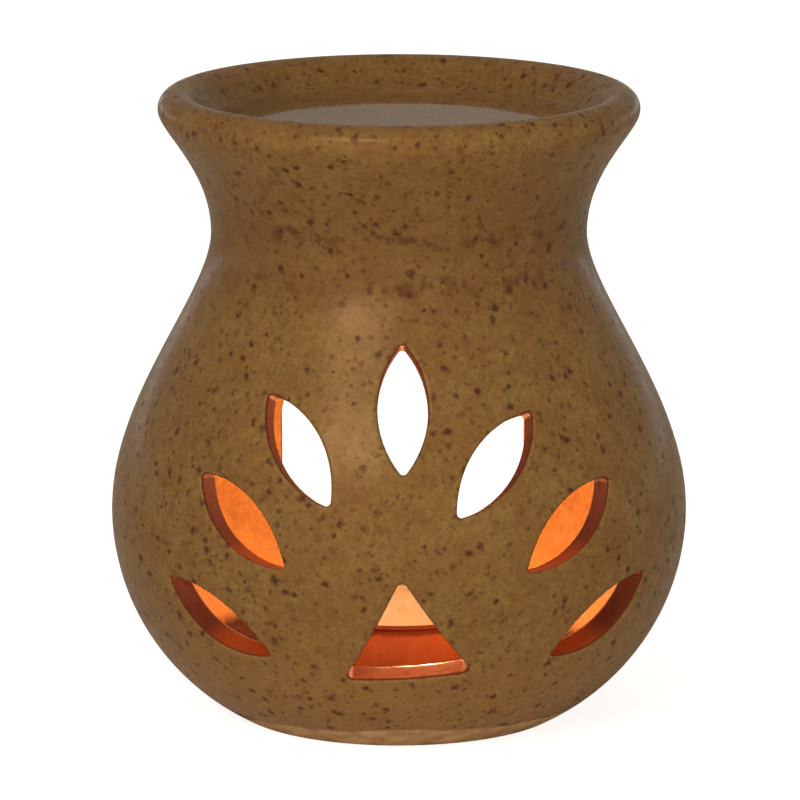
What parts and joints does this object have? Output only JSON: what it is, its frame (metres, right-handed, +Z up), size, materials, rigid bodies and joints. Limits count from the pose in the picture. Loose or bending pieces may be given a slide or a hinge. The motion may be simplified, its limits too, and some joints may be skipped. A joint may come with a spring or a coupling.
{
  "type": "essential oil burner",
  "caption": "Round-bellied speckled stoneware oil burner: flared oil dish above a candle chamber with petal cut-outs, a triangular window and a rear arch, with a tealight inside.",
  "frame": {"origin": "centre of the flat foot, on the round body's axis, at the height that the burner stands on", "axes": "+Z up the body's axis, -Y to the front with the cut flower, +Y to the rear arch, +X to the right seen from the front"},
  "size_m": [0.0916, 0.087, 0.1],
  "materials": {
    "stoneware": "satin olive-brown glaze with dark iron specks, bare clay at the foot",
    "cup_metal": "thin pressed foil, bright",
    "wax": "white paraffin, melted at the top",
    "wick": "braided cotton, charred at the tip",
    "sustainer_metal": "plain tinned sheet",
    "water": "still water with a little oil",
    "flame": "candle flame, glowing"
  },
  "bodies": {
    "burner": {"burner_chamber": "stoneware", "oil_dish": "stoneware"},
    "tealight": {"tealight_cup": "cup_metal", "tealight_wax": "wax", "tealight_wick": "wick", "wick_sustainer": "sustainer_metal"}
  },
  "joints": [
    {"name": "tealight_slide", "type": "slide", "parent": "burner", "child": "tealight", "axis": [0.0142, 0.9062, 0.4226], "range_m": [0, 0.08]}
  ]
}
